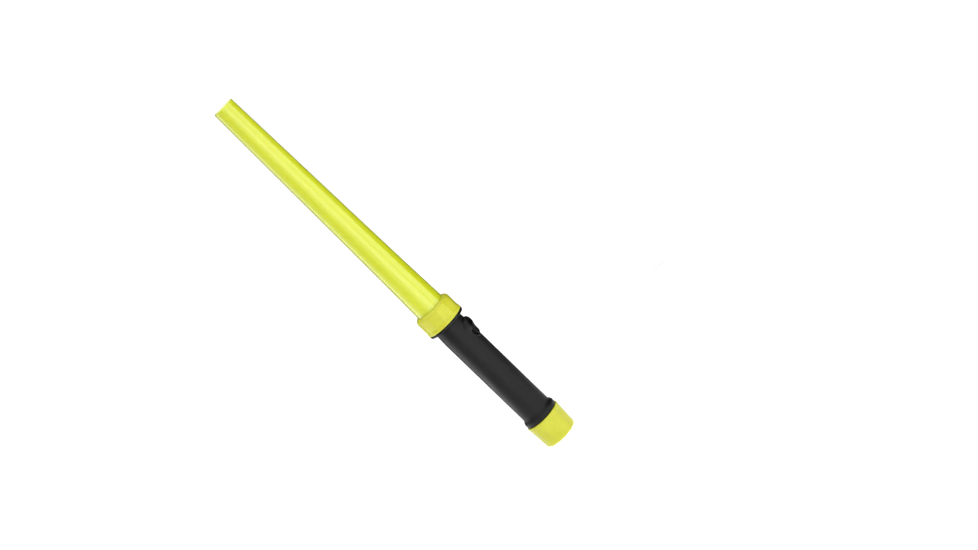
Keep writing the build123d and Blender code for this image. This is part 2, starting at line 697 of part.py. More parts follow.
# The return strip runs up a groove in the barrel from the tail contact to the switch.
strip_face = STRIP_GROOVE_RADIUS - STRIP_FIT
with BuildPart() as return_strip:
    with BuildSketch(Plane.YZ.offset(-STRIP_HALF_WIDTH)):
        with BuildLine():
            Polyline(
                (-strip_face - STRIP_HOOK, BARREL_BOTTOM - STRIP_THICKNESS),
                (-strip_face + STRIP_THICKNESS, BARREL_BOTTOM - STRIP_THICKNESS),
                (-strip_face + STRIP_THICKNESS, STRIP_CROSSING),
                (-RECESS_FACE, STRIP_CROSSING),
                (-RECESS_FACE, STRIP_PAD_TOP),
                (-RECESS_FACE - CONTACT_THICKNESS, STRIP_PAD_TOP),
                (-RECESS_FACE - CONTACT_THICKNESS, STRIP_CROSSING + STRIP_THICKNESS),
                (-strip_face, STRIP_CROSSING + STRIP_THICKNESS),
                (-strip_face, BARREL_BOTTOM),
                (-strip_face - STRIP_HOOK, BARREL_BOTTOM),
                close=True,
            )
        make_face()
    extrude(amount=2 * STRIP_HALF_WIDTH)


# ---------------------------------------------------------------- lamp
# The lamp holder plugs into the barrel's head and stands on the step in its bore.
with BuildPart() as lamp_holder:
    ring(0, HOLDER_RADIUS, HOLDER_BOTTOM, BARREL_STEP)
    ring(0, HOLDER_HEAD_RADIUS, BARREL_STEP, HOLDER_TOP)
    upright_box(
        -POCKET_HALF_WIDTH,
        POCKET_HALF_WIDTH,
        POCKET_FRONT,
        POCKET_BACK,
        POCKET_BOTTOM,
        HOLDER_TOP,
        mode=Mode.SUBTRACT,
    )
    upright_box(
        -RECESS_HALF_WIDTH,
        RECESS_HALF_WIDTH,
        -HOLDER_RADIUS - OVERCUT,
        -RECESS_FACE,
        RECESS_BOTTOM,
        RECESS_TOP,
        mode=Mode.SUBTRACT,
    )
    ring(0, HOLDER_BORE, HOLDER_BOTTOM, POCKET_BOTTOM, mode=Mode.SUBTRACT)
    with BuildSketch(Plane.XZ.offset(-POCKET_FRONT - OVERCUT)):
        with Locations((0, RIVET_HEIGHT)):
            Circle(RIVET_RADIUS + RIVET_FIT)
    extrude(amount=RECESS_FACE + POCKET_FRONT + 2 * OVERCUT, mode=Mode.SUBTRACT)
    with BuildSketch(Plane.XY.offset(HOLDER_TOP)):
        with Locations((LAMP_SCREW_OFFSET, 0), (-LAMP_SCREW_OFFSET, 0)):
            Circle(LAMP_SCREW_RADIUS + RIVET_FIT)
    extrude(amount=-LAMP_SCREW_HOLE, mode=Mode.SUBTRACT)

# The positive contact is a stud through the holder's floor, with a wide face for the front cell's nub.
with BuildPart() as positive_contact:
    ring(0, POSITIVE_DISC, CELLS_TOP, HOLDER_BOTTOM)
    ring(0, POSITIVE_STEM, HOLDER_BOTTOM, POCKET_BOTTOM)
    ring(0, POSITIVE_HEAD, POCKET_BOTTOM, POCKET_BOTTOM + POSITIVE_HEAD_THICKNESS)

with BuildPart() as driver_board:
    upright_box(-POCKET_HALF_WIDTH, POCKET_HALF_WIDTH, 0, BOARD_THICKNESS, BOARD_BOTTOM, BOARD_TOP)

with BuildPart() as driver_chip:
    upright_box(-CHIP_SIZE / 2, CHIP_SIZE / 2, -CHIP_HEIGHT, 0, CHIP_BOTTOM, CHIP_BOTTOM + CHIP_SIZE)
    chip_top = driver_chip.faces().sort_by(Axis.Y)[0]
    chamfer(chip_top.edges(), CHIP_EDGE)

# Two pins carry the current from the driver board to the LED board.
with BuildPart() as board_pins:
    with BuildSketch(Plane.XY.offset(BOARD_TOP)):
        with Locations((-PIN_OFFSET, BOARD_THICKNESS / 2), (PIN_OFFSET, BOARD_THICKNESS / 2)):
            Circle(PIN_RADIUS)
    extrude(amount=HOLDER_TOP - BOARD_TOP)

with BuildPart() as led_board:
    ring(0, LED_BOARD_RADIUS, HOLDER_TOP, LED_BOARD_TOP)
    with BuildSketch(Plane.XY.offset(HOLDER_TOP)):
        with Locations((LAMP_SCREW_OFFSET, 0), (-LAMP_SCREW_OFFSET, 0)):
            Circle(LAMP_SCREW_RADIUS + RIVET_FIT)
    extrude(amount=LED_BOARD_TOP - HOLDER_TOP, mode=Mode.SUBTRACT)

with BuildPart() as led_package:
    upright_box(
        -LED_SIZE / 2,
        LED_SIZE / 2,
        -LED_SIZE / 2,
        LED_SIZE / 2,
        LED_BOARD_TOP,
        LED_BOARD_TOP + LED_HEIGHT,
    )

dome_bottom = LED_BOARD_TOP + LED_HEIGHT
with BuildPart() as led_dome:
    with BuildSketch(Plane.XZ):
        with BuildLine():
            Line((0, dome_bottom), (LED_DOME_RADIUS, dome_bottom))
            CenterArc((0, dome_bottom), LED_DOME_RADIUS, 0, 90)
            Line((0, dome_bottom + LED_DOME_RADIUS), (0, dome_bottom))
        make_face()
    revolve(axis=Axis.Z)

# Two small pan-head screws hold the LED board down on the lamp holder.
screw_top = LED_BOARD_TOP + LAMP_SCREW_HEAD_HEIGHT
with BuildPart() as lamp_screws:
    with BuildSketch(Plane.XY.offset(LED_BOARD_TOP)):
        with Locations((LAMP_SCREW_OFFSET, 0), (-LAMP_SCREW_OFFSET, 0)):
            Circle(LAMP_SCREW_HEAD)
    extrude(amount=LAMP_SCREW_HEAD_HEIGHT)
    with BuildSketch(Plane.XY.offset(LED_BOARD_TOP)):
        with Locations((LAMP_SCREW_OFFSET, 0), (-LAMP_SCREW_OFFSET, 0)):
            Circle(LAMP_SCREW_RADIUS)
    extrude(amount=-LAMP_SCREW_LENGTH)
    with BuildSketch(Plane.XY.offset(screw_top)):
        with Locations((LAMP_SCREW_OFFSET, 0), (-LAMP_SCREW_OFFSET, 0)):
            Rectangle(LAMP_SCREW_CROSS, LAMP_SCREW_CROSS_WIDTH)
            Rectangle(LAMP_SCREW_CROSS_WIDTH, LAMP_SCREW_CROSS)
    extrude(amount=-LAMP_SCREW_CROSS_DEPTH, mode=Mode.SUBTRACT)


def parabola_radius(height):
    """The reflector's inner radius at a height."""
    return math.sqrt(4 * REFLECTOR_FOCUS * (height - REFLECTOR_VERTEX))


dish_low = parabola_radius(REFLECTOR_BASE)
dish_high = parabola_radius(REFLECTOR_TOP)
dish_control = (
    (dish_low + dish_high) / 2,
    REFLECTOR_BASE + dish_low / (2 * REFLECTOR_FOCUS) * (dish_high - dish_low) / 2,
)
back_high = parabola_radius(REFLECTOR_RIM_BOTTOM)
back_control = (
    (dish_low + back_high) / 2 + REFLECTOR_WALL,
    REFLECTOR_BASE + dish_low / (2 * REFLECTOR_FOCUS) * (back_high - dish_low) / 2,
)
with BuildPart() as reflector:
    with BuildSketch(Plane.XZ):
        with BuildLine():
            Bezier((dish_low, REFLECTOR_BASE), dish_control, (dish_high, REFLECTOR_TOP))
            Polyline(
                (dish_high, REFLECTOR_TOP),
                (REFLECTOR_RIM_RADIUS, REFLECTOR_TOP),
                (REFLECTOR_RIM_RADIUS, REFLECTOR_RIM_BOTTOM),
                (back_high + REFLECTOR_WALL, REFLECTOR_RIM_BOTTOM),
            )
            Bezier(
                (back_high + REFLECTOR_WALL, REFLECTOR_RIM_BOTTOM),
                back_control,
                (dish_low + REFLECTOR_WALL, REFLECTOR_BASE),
            )
            Polyline(
                (dish_low + REFLECTOR_WALL, REFLECTOR_BASE),
                (dish_low + REFLECTOR_WALL, LED_BOARD_TOP),
                (dish_low, LED_BOARD_TOP),
                (dish_low, REFLECTOR_BASE),
            )
        make_face()
    revolve(axis=Axis.Z)

with BuildPart() as lens:
    ring(0, LENS_RADIUS, HEAD_TOP, HEAD_TOP + LENS_THICKNESS)
    fillet(lens.edges().filter_by(GeomType.CIRCLE).sort_by(Axis.Z)[-1], LENS_EDGE)


# ---------------------------------------------------------------- cells
def cell_body(bottom):
    """One size C cell, a steel can with its nub, in the open part block."""
    ring(0, CELL_RADIUS, bottom, bottom + CELL_HEIGHT - CELL_NUB_HEIGHT)
    rims = faces().filter_by(Axis.Z).sort_by(Axis.Z)
    fillet(rims[0].edges() + rims[-1].edges(), CELL_EDGE)
    ring(0, CELL_NUB_RADIUS, bottom + CELL_HEIGHT - CELL_NUB_HEIGHT, bottom + CELL_HEIGHT)


def cell_wrap(bottom):
    """The plastic sleeve shrunk round a cell, in the open part block."""
    ring(
        CELL_RADIUS,
        CELL_RADIUS + CELL_SLEEVE_THICKNESS,
        bottom + CELL_SLEEVE_INSET,
        bottom + CELL_HEIGHT - CELL_NUB_HEIGHT - CELL_SLEEVE_INSET,
    )


with BuildPart() as cell_rear:
    cell_body(REAR_CELL_BOTTOM)

with BuildPart() as cell_front:
    cell_body(FRONT_CELL_BOTTOM)

with BuildPart() as cell_rear_wrap:
    cell_wrap(REAR_CELL_BOTTOM)

with BuildPart() as cell_front_wrap:
    cell_wrap(FRONT_CELL_BOTTOM)


# ---------------------------------------------------------------- tail
# The tail cap is a threaded cup with the same twelve flats as the collar and a round rim.
with BuildPart() as tail_cap:
    with BuildSketch(Plane.XZ):
        with BuildLine():
            CenterArc((CAP_END_RADIUS - CAP_END_ROUND, CAP_END_ROUND), CAP_END_ROUND, -90, 90)
            Polyline(
                (CAP_END_RADIUS, CAP_END_ROUND),
                (CAP_RIM_RADIUS, CAP_RIM_BOTTOM),
                (CAP_RIM_RADIUS, CAP_TOP),
                (CAP_SEAL_BORE, CAP_TOP),
                (CAP_SEAL_BORE, CAP_SEAL_BOTTOM),
                (CAP_BORE, CAP_SEAL_BOTTOM),
                (CAP_BORE, CAP_FLOOR),
                (0, CAP_FLOOR),
                (0, 0),
                (CAP_END_RADIUS - CAP_END_ROUND, 0),
            )
        make_face()
    revolve(axis=Axis.Z)
    rim_edge = (
        tail_cap.edges()
        .filter_by(GeomType.CIRCLE)
        .filter_by(lambda e: abs(e.radius - CAP_RIM_RADIUS) < RADIUS_MATCH)
        .sort_by(Axis.Z)[-1]
    )
    fillet(rim_edge, CAP_RIM_EDGE)
    with PolarLocations(0, FLAT_COUNT, start_angle=CAP_FLAT_ANGLE):
        add(cap_flat_cut.part, mode=Mode.SUBTRACT)
    add(thread_ridge(CAP_BORE, THREAD_CLEARANCE - THREAD_DEPTH, CAP_THREAD_BOTTOM, 180))

with BuildPart() as tail_contact:
    ring(0, TAIL_CONTACT_RADIUS, CAP_FLOOR, CAP_FLOOR + TAIL_CONTACT_THICKNESS)

with BuildPart() as tail_spring:
    spring_height = REAR_CELL_BOTTOM - SPRING_BOTTOM - 2 * SPRING_WIRE - SPRING_GAP
    with BuildLine() as coil:
        Helix(
            spring_height / SPRING_TURNS,
            spring_height,
            SPRING_RADIUS,
            center=(0, 0, SPRING_BOTTOM + SPRING_WIRE),
        )
    with BuildSketch(Plane(origin=coil.line @ 0, z_dir=coil.line % 0)):
        Circle(SPRING_WIRE)
    sweep(path=coil.line, is_frenet=True)


# ---------------------------------------------------------------- files
pieces = {
    "wand_cone": wand_cone,
    "wand_gasket": wand_gasket,
    "collar": collar,
    "barrel": barrel,
    "grip_sleeve": grip_sleeve,
    "head_seal": head_seal,
    "tail_seal": tail_seal,
    "switch_housing": switch_housing,
    "switch_slider": switch_slider,
    "switch_carriage": switch_carriage,
    "switch_leaf": switch_leaf,
    "switch_contact": switch_contact,
    "return_strip": return_strip,
    "lamp_holder": lamp_holder,
    "positive_contact": positive_contact,
    "driver_board": driver_board,
    "driver_chip": driver_chip,
    "board_pins": board_pins,
    "led_board": led_board,
    "led_package": led_package,
    "led_dome": led_dome,
    "lamp_screws": lamp_screws,
    "reflector": reflector,
    "lens": lens,
    "cell_rear": cell_rear,
    "cell_front": cell_front,
    "cell_rear_wrap": cell_rear_wrap,
    "cell_front_wrap": cell_front_wrap,
    "tail_cap": tail_cap,
    "tail_contact": tail_contact,
    "tail_spring": tail_spring,
}

os.makedirs("parts", exist_ok=True)
for name, piece in pieces.items():
    piece.part.label = name
    export_step(piece.part, f"parts/{name}.step")
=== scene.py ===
import json
import math

import bpy
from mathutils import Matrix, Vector


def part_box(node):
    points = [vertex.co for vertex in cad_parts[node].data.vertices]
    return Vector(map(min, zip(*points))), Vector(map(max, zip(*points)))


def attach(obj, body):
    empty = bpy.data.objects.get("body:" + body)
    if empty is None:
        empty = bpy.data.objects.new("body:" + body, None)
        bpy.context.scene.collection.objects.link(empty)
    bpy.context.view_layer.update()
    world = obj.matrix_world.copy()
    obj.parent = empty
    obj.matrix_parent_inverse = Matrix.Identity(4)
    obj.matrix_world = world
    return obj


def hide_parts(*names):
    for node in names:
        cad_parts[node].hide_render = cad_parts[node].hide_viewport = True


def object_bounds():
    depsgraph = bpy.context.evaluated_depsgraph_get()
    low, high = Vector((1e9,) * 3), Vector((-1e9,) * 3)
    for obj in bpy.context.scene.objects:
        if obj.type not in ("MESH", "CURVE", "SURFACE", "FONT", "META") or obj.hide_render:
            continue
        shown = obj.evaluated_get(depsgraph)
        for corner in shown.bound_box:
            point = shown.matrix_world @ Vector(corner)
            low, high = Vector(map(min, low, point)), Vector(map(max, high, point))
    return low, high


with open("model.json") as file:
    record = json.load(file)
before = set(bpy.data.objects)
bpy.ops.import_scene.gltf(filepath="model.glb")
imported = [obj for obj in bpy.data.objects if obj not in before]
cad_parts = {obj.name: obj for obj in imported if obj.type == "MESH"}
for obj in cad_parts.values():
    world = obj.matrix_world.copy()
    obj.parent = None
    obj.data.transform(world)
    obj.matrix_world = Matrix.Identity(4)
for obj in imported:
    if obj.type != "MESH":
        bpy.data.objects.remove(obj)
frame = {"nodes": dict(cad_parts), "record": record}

START_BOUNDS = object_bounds()
FLOOR_HEIGHT = START_BOUNDS[0][2]
MM = 0.001

# ---------------------------------------------------------------- camera
# The baton stands upright and the camera is rolled, so that it lies across the picture.
CAMERA_AZIMUTH = -63.0
CAMERA_BACK = 2.3192
CAMERA_HEIGHT = 0.6408
AIM_SIDE = 0.06155
AIM_HEIGHT = 0.1617
CAMERA_ROLL = -45.7044
CAMERA_VIEW = 22.4567
CLIP_NEAR = 0.05
CLIP_FAR = 100.0


def compass(azimuth):
    """The level direction that a camera at this azimuth looks from."""
    a = math.radians(azimuth)
    return Vector((math.sin(a), -math.cos(a), 0.0))


def add_camera():
    back = compass(CAMERA_AZIMUTH)
    side = compass(CAMERA_AZIMUTH + 90.0)
    up = Vector((0.0, 0.0, 1.0))
    place = back * CAMERA_BACK + up * CAMERA_HEIGHT
    aim = side * AIM_SIDE + up * AIM_HEIGHT
    forward = (aim - place).normalized()
    right = forward.cross(up).normalized()
    top = right.cross(forward)
    roll = math.radians(CAMERA_ROLL)
    rolled_right = right * math.cos(roll) + top * math.sin(roll)
    rolled_top = top * math.cos(roll) - right * math.sin(roll)
    data = bpy.data.cameras.new("camera")
    data.sensor_fit = "HORIZONTAL"
    data.angle = math.radians(CAMERA_VIEW)
    data.clip_start, data.clip_end = CLIP_NEAR, CLIP_FAR
    camera = bpy.data.objects.new("camera", data)
    bpy.context.scene.collection.objects.link(camera)
    matrix = camera.matrix_world.to_3x3()
    matrix.col[0], matrix.col[1], matrix.col[2] = rolled_right, rolled_top, -forward
    camera.rotation_mode = "QUATERNION"
    camera.rotation_quaternion = matrix.to_quaternion()
    camera.location = place
    bpy.context.scene.camera = camera


# ---------------------------------------------------------------- node helpers
# Noise lies mostly between these two values.
NOISE_LOW = 0.3
NOISE_HIGH = 0.7
# An edge is found where the rounded normal and the true one differ. These are their dot products.
NORMALS_ALIKE = 0.995
NORMALS_APART = 0.93
BEVEL_SAMPLES = 6
# Scratches are thin bands of a stretched noise, and a broader noise breaks them.
SCRATCH_STRETCH = 0.03
SCRATCH_WIDTH = 0.012
GAP_SIZE = 3.0
GAP_LOW = 0.66
GAP_HIGH = 0.70


class Shader:
    """A material's node tree, with one short call for each kind of node."""

    def __init__(self, name):
        self.material = bpy.data.materials.new(name)
        self.material.use_nodes = True
        self.tree = self.material.node_tree
        self.tree.nodes.clear()
        self.output = self.tree.nodes.new("ShaderNodeOutputMaterial")
        self.body = self.tree.nodes.new("ShaderNodeBsdfPrincipled")
        self.tree.links.new(self.body.outputs["BSDF"], self.output.inputs["Surface"])
        self.place = self.tree.nodes.new("ShaderNodeTexCoord").outputs["Object"]

    def put(self, socket, value):
        if isinstance(value, bpy.types.NodeSocket):
            self.tree.links.new(value, socket)
        else:
            socket.default_value = value

    def set(self, **values):
        for name, value in values.items():
            self.put(self.body.inputs[name.replace("_", " ")], value)

    def stretch(self, scale, turn):
        """The place scaled along each axis and then turned, so that two layers of one noise differ."""
        node = self.tree.nodes.new("ShaderNodeMapping")
        self.put(node.inputs["Vector"], self.place)
        node.inputs["Scale"].default_value = scale
        node.inputs["Rotation"].default_value = (math.radians(turn), math.radians(turn), 0.0)
        return node.outputs["Vector"]

    def noise(self, size, detail=4.0, roughness=0.55, stretch=(1.0, 1.0, 1.0), turn=0.0):
        """Noise whose blotches are about this many millimetres wide, longer where the stretch is small."""
        node = self.tree.nodes.new("ShaderNodeTexNoise")
        self.put(node.inputs["Vector"], self.stretch(stretch, turn))
        node.inputs["Scale"].default_value = 1.0 / (size * MM)
        node.inputs["Detail"].default_value = detail
        node.inputs["Roughness"].default_value = roughness
        return node.outputs["Fac"]

    def cells(self, size):
        """Rounded cells about this many millimetres wide."""
        node = self.tree.nodes.new("ShaderNodeTexVoronoi")
        self.put(node.inputs["Vector"], self.place)
        node.inputs["Scale"].default_value = 1.0 / (size * MM)
        return node.outputs["Distance"]

    def ramp(self, value, low, high, low_to=0.0, high_to=1.0):
        """A smooth step of the value between low and high."""
        node = self.tree.nodes.new("ShaderNodeMapRange")
        node.interpolation_type = "SMOOTHSTEP"
        self.put(node.inputs["Value"], value)
        self.put(node.inputs["From Min"], low)
        self.put(node.inputs["From Max"], high)
        self.put(node.inputs["To Min"], low_to)
        self.put(node.inputs["To Max"], high_to)
        return node.outputs["Result"]

    def math(self, kind, a, b=0.0):
        node = self.tree.nodes.new("ShaderNodeMath")
        node.operation = kind
        self.put(node.inputs[0], a)
        self.put(node.inputs[1], b)
        return node.outputs[0]

    def mix(self, factor, a, b):
        """Colour a where the factor is 0 and colour b where it is 1."""
        node = self.tree.nodes.new("ShaderNodeMix")
        node.data_type = "RGBA"
        self.put(node.inputs["Factor"], factor)
        for socket, value in ((node.inputs[6], a), (node.inputs[7], b)):
            self.put(socket, (*value, 1.0) if isinstance(value, tuple) else value)
        return node.outputs[2]

    def mottle(self, value, a, b):
        """Two colours in soft blotches."""
        return self.mix(self.ramp(value, NOISE_LOW, NOISE_HIGH), a, b)

    def spread(self, value, low_to, high_to):
        """Noise brought to the range between two numbers."""
        return self.ramp(value, NOISE_LOW, NOISE_HIGH, low_to, high_to)

    def cover(self, colour, mask, share, top):
        """The colour with this share of another one over it, where the mask is 1."""
        return self.mix(self.math("MULTIPLY", mask, share), colour, top)

    def height(self):
        """How far up the baton a point is, in millimetres."""
        node = self.tree.nodes.new("ShaderNodeSeparateXYZ")
        self.put(node.inputs[0], self.place)
        return self.math("MULTIPLY", node.outputs[2], 1.0 / MM)

    def edge(self, radius):
        """1 within this many millimetres of an edge, 0 on the open face."""
        bevel = self.tree.nodes.new("ShaderNodeBevel")
        bevel.samples = BEVEL_SAMPLES
        bevel.inputs["Radius"].default_value = radius * MM
        face = self.tree.nodes.new("ShaderNodeNewGeometry")
        dot = self.tree.nodes.new("ShaderNodeVectorMath")
        dot.operation = "DOT_PRODUCT"
        self.put(dot.inputs[0], bevel.outputs["Normal"])
        self.put(dot.inputs[1], face.outputs["Normal"])
        return self.ramp(dot.outputs["Value"], NORMALS_ALIKE, NORMALS_APART)

    def bump(self, *layers):
        """Layers of (height, depth in millimetres), stacked."""
        normal = None
        for height, depth in layers:
            node = self.tree.nodes.new("ShaderNodeBump")
            node.inputs["Distance"].default_value = depth * MM
            self.put(node.inputs["Height"], height)
            if normal is not None:
                self.put(node.inputs["Normal"], normal)
            normal = node.outputs["Normal"]
        self.put(self.body.inputs["Normal"], normal)

    def scratches(self, size, share, turn):
        """Thin broken marks along the baton: 1 on a mark and 0 off it. A larger share gives more."""
        lines = self.noise(size, detail=0.0, stretch=(1.0, 1.0, SCRATCH_STRETCH), turn=turn)
        gaps = self.noise(size * GAP_SIZE, detail=1.0)
        thin = self.ramp(self.math("ABSOLUTE", self.math("SUBTRACT", lines, 0.5)), SCRATCH_WIDTH, 0.0)
        return self.math("MULTIPLY", thin, self.ramp(gaps, GAP_LOW - share, GAP_HIGH - share))


# ---------------------------------------------------------------- materials
# The cone's colour deepens between these heights, in millimetres, where its wall meets the flange.
CONE_THIN = 190.0
CONE_THICK = 178.0
# Stretch of a grain that runs round the baton.
TURNED_LINES = (0.2, 0.2, 3.0)


def wand_plastic():
    """Fluorescent yellow-green cone: glossy, slightly milky, with flow lines and handling scratches."""
    s = Shader("wand_plastic")
    cloud = s.noise(60.0, detail=3.0, stretch=(1.0, 1.0, 0.35))
    flow = s.noise(3.2, detail=2.0, stretch=(1.0, 1.0, 0.008))
    marks = s.scratches(size=2.6, share=0.08, turn=12.0)
    rubs = s.scratches(size=3.4, share=0.06, turn=55.0)
    dust = s.ramp(s.noise(1.1, detail=5.0), 0.60, 0.78)
    thick = s.ramp(s.height(), CONE_THIN, CONE_THICK)
    colour = s.mottle(cloud, (0.610, 0.672, 0.011), (0.655, 0.715, 0.020))
    colour = s.cover(colour, s.ramp(flow, 0.35, 0.75), 0.35, (0.680, 0.760, 0.040))
    colour = s.cover(colour, thick, 0.35, (0.560, 0.640, 0.010))
    colour = s.cover(colour, s.math("MAXIMUM", marks, rubs), 0.18, (0.74, 0.80, 0.16))
    s.set(
        Base_Color=colour,
        Roughness=s.math("ADD", s.ramp(cloud, 0.25, 0.75, 0.20, 0.30), s.math("MULTIPLY", dust, 0.10)),
        Subsurface_Weight=0.25,
        Subsurface_Scale=0.004,
        Subsurface_Radius=(1.0, 1.0, 0.25),
        Specular_IOR_Level=0.60,
        Coat_Weight=0.80,
        Coat_Roughness=0.12,
    )
    wave = s.noise(9.0, detail=1.0, stretch=(1.0, 1.0, 0.03))
    s.bump((flow, 0.008), (wave, 0.02), (marks, -0.006), (rubs, -0.006))
    return s.material


def cap_plastic():
    """Opaque pale yellow mouldings: satin, spark-eroded grain, paler edges that are partly wear and partly a
    painted highlight, and patches of grime.
    """
    s = Shader("cap_plastic")
    cloud = s.noise(16.0, detail=4.0)
    grain = s.noise(0.42, detail=3.0, roughness=0.7)
    marks = s.scratches(size=1.5, share=0.12, turn=18.0)
    nicks = s.scratches(size=1.8, share=0.08, turn=62.0)
    # Mask for paler edges: partly wear, partly a painted highlight along the edges of the flats.
    wear_and_edge_highlight = s.math("MULTIPLY", s.edge(0.45), s.ramp(s.noise(3.0, detail=4.0), 0.42, 0.62))
    grime = s.ramp(s.noise(5.0, detail=6.0, roughness=0.7), 0.56, 0.74)
    colour = s.mottle(cloud, (0.560, 0.562, 0.022), (0.615, 0.617, 0.036))
    colour = s.cover(colour, grime, 0.22, (0.46, 0.42, 0.05))
    # Painted highlight and wear: the edges are coloured paler.
    colour = s.cover(colour, wear_and_edge_highlight, 0.40, (0.80, 0.79, 0.22))
    colour = s.cover(colour, s.math("MAXIMUM", marks, nicks), 0.22, (0.74, 0.73, 0.20))
    rough = s.math("ADD", s.spread(cloud, 0.34, 0.44), s.math("MULTIPLY", wear_and_edge_highlight, -0.12))
    s.set(Base_Color=colour, Roughness=rough, Subsurface_Weight=0.08, Subsurface_Scale=0.002)
    s.bump((grain, 0.035), (s.noise(7.0, detail=2.0), 0.05), (s.math("MAXIMUM", marks, nicks), -0.01))
    return s.material


def dark_moulding(name, tone, roughness, grain_size, grain_depth, wear):
    """A black plastic or rubber with grain, dust, scuffs and paler worn edges."""
    s = Shader(name)
    cloud = s.noise(22.0, detail=4.0)
    grain = s.noise(grain_size, detail=3.0, roughness=0.65)
    dust = s.ramp(s.noise(2.2, detail=6.0, roughness=0.7), 0.55, 0.80)
    scuffs = s.scratches(size=2.2, share=0.09, turn=15.0)
    rubs = s.scratches(size=1.7, share=0.07, turn=50.0)
    wear_and_edge_highlight = s.math("MULTIPLY", s.edge(0.5), s.ramp(s.noise(2.5, detail=4.0), 0.45, 0.65))
    colour = s.mottle(cloud, tuple(c * 0.82 for c in tone), tuple(c * 1.25 for c in tone))
    colour = s.cover(colour, dust, 0.10, (0.09, 0.085, 0.08))
    colour = s.cover(colour, s.math("MAXIMUM", scuffs, rubs), wear * 0.5, (0.05, 0.05, 0.05))
    colour = s.cover(colour, wear_and_edge_highlight, wear, (0.07, 0.07, 0.07))
    rough = s.math("ADD", s.spread(cloud, roughness - 0.05, roughness + 0.06), s.math("MULTIPLY", dust, 0.10))
    s.set(Base_Color=colour, Roughness=rough, Specular_IOR_Level=0.22)
    s.bump((grain, grain_depth), (s.noise(6.0, detail=2.0), 0.04), (s.math("MAXIMUM", scuffs, rubs), -0.008))
    return s.material


def metal(name, tone, dark, roughness, brush, brush_size, stain):
    """A bare or plated metal with a brushed grain, stains and small dings."""
    s = Shader(name)
    lines = s.noise(brush_size, detail=4.0, stretch=brush)
    cloud = s.noise(6.0, detail=4.0)
    spots = s.ramp(s.noise(1.6, detail=5.0, roughness=0.7), 0.56, 0.74)
    colour = s.mottle(cloud, tone, tuple(c * 0.86 for c in tone))
    colour = s.cover(colour, spots, stain, dark)
    colour = s.cover(colour, s.ramp(lines, 0.4, 0.7), 0.15, tuple(c * 0.7 for c in tone))
    dull = s.math("MULTIPLY", spots, 0.12)
    rough = s.math("ADD", s.spread(lines, roughness - 0.06, roughness + 0.08), dull)
    s.set(Base_Color=colour, Metallic=1.0, Roughness=rough)
    s.bump((lines, 0.010), (s.noise(1.2, detail=3.0), 0.008))
    return s.material


def white_nylon():
    """Moulded nylon: matte, faintly mottled, with fine grain and grey handling marks."""
    s = Shader("white_nylon")
    cloud = s.noise(8.0, detail=4.0)
    grime = s.ramp(s.noise(2.8, detail=6.0, roughness=0.7), 0.54, 0.76)
    colour = s.mottle(cloud, (0.70, 0.69, 0.64), (0.80, 0.79, 0.75))
    colour = s.cover(colour, grime, 0.25, (0.42, 0.40, 0.36))
    rough = s.spread(cloud, 0.48, 0.62)
    s.set(Base_Color=colour, Roughness=rough, Subsurface_Weight=0.1, Subsurface_Scale=0.001)
    s.bump((s.noise(0.35, detail=3.0), 0.02), (s.noise(3.0, detail=2.0), 0.03))
    return s.material


def circuit_board():
    """Glass-fibre board under green solder mask, with its weave and the tracks under the mask."""
    s = Shader("circuit_board")
    weave = s.cells(0.7)
    tracks = s.ramp(s.noise(2.0, detail=0.0, stretch=(1.0, 0.25, 1.0)), 0.52, 0.56)
    colour = s.mix(tracks, (0.010, 0.085, 0.030), (0.020, 0.150, 0.050))
    colour = s.cover(colour, s.ramp(weave, 0.2, 0.6), 0.3, (0.03, 0.11, 0.05))
    s.set(Base_Color=colour, Roughness=s.ramp(weave, 0.1, 0.6, 0.26, 0.40))
    s.bump((tracks, 0.03), (weave, 0.01))
    return s.material


def chip_black():
    """Moulded package: matte dark grey with a fine sandy grain."""
    s = Shader("chip_black")
    grain = s.noise(0.18, detail=4.0)
    colour = s.mottle(grain, (0.012, 0.012, 0.013), (0.030, 0.030, 0.031))
    s.set(Base_Color=colour, Roughness=s.spread(grain, 0.50, 0.68))
    s.bump((grain, 0.015))
    return s.material


def led_board():
    """Aluminium board under white solder mask, with grey edges and faint tracks."""
    s = Shader("led_board")
    cloud = s.noise(3.0, detail=4.0)
    tracks = s.ramp(s.noise(2.6, detail=0.0), 0.55, 0.58)
    colour = s.mix(tracks, (0.80, 0.80, 0.78), (0.70, 0.70, 0.69))
    colour = s.cover(colour, s.edge(0.3), 0.6, (0.35, 0.35, 0.36))
    s.set(Base_Color=colour, Roughness=s.spread(cloud, 0.30, 0.42))
    s.bump((tracks, 0.02), (cloud, 0.01))
    return s.material


def led_ceramic():
    """Sintered ceramic: nearly white, matte, finely pitted."""
    s = Shader("led_ceramic")
    grain = s.noise(0.25, detail=4.0)
    colour = s.mottle(grain, (0.74, 0.73, 0.70), (0.84, 0.83, 0.81))
    s.set(Base_Color=colour, Roughness=s.spread(grain, 0.42, 0.58))
    s.bump((grain, 0.008))
    return s.material


def led_silicone():
    """Clear silicone dome over yellow phosphor."""
    s = Shader("led_silicone")
    cloud = s.noise(0.9, detail=4.0)
    colour = s.mottle(cloud, (0.82, 0.66, 0.10), (0.90, 0.76, 0.22))
    s.set(Base_Color=colour, Roughness=s.spread(cloud, 0.08, 0.16), Transmission_Weight=0.35, IOR=1.41)
    s.bump((cloud, 0.01))
    return s.material


def mirror_metal():
    """Vacuum-metallised reflector: mirror bright, with a faint orange-peel wave and dust."""
    s = Shader("mirror_metal")
    peel = s.noise(1.8, detail=2.0)
    dust = s.ramp(s.noise(0.5, detail=5.0), 0.60, 0.76)
    colour = s.mottle(peel, (0.86, 0.87, 0.88), (0.92, 0.92, 0.92))
    s.set(Base_Color=colour, Metallic=1.0, Roughness=s.math("ADD", 0.05, s.math("MULTIPLY", dust, 0.14)))
    s.bump((peel, 0.012))
    return s.material


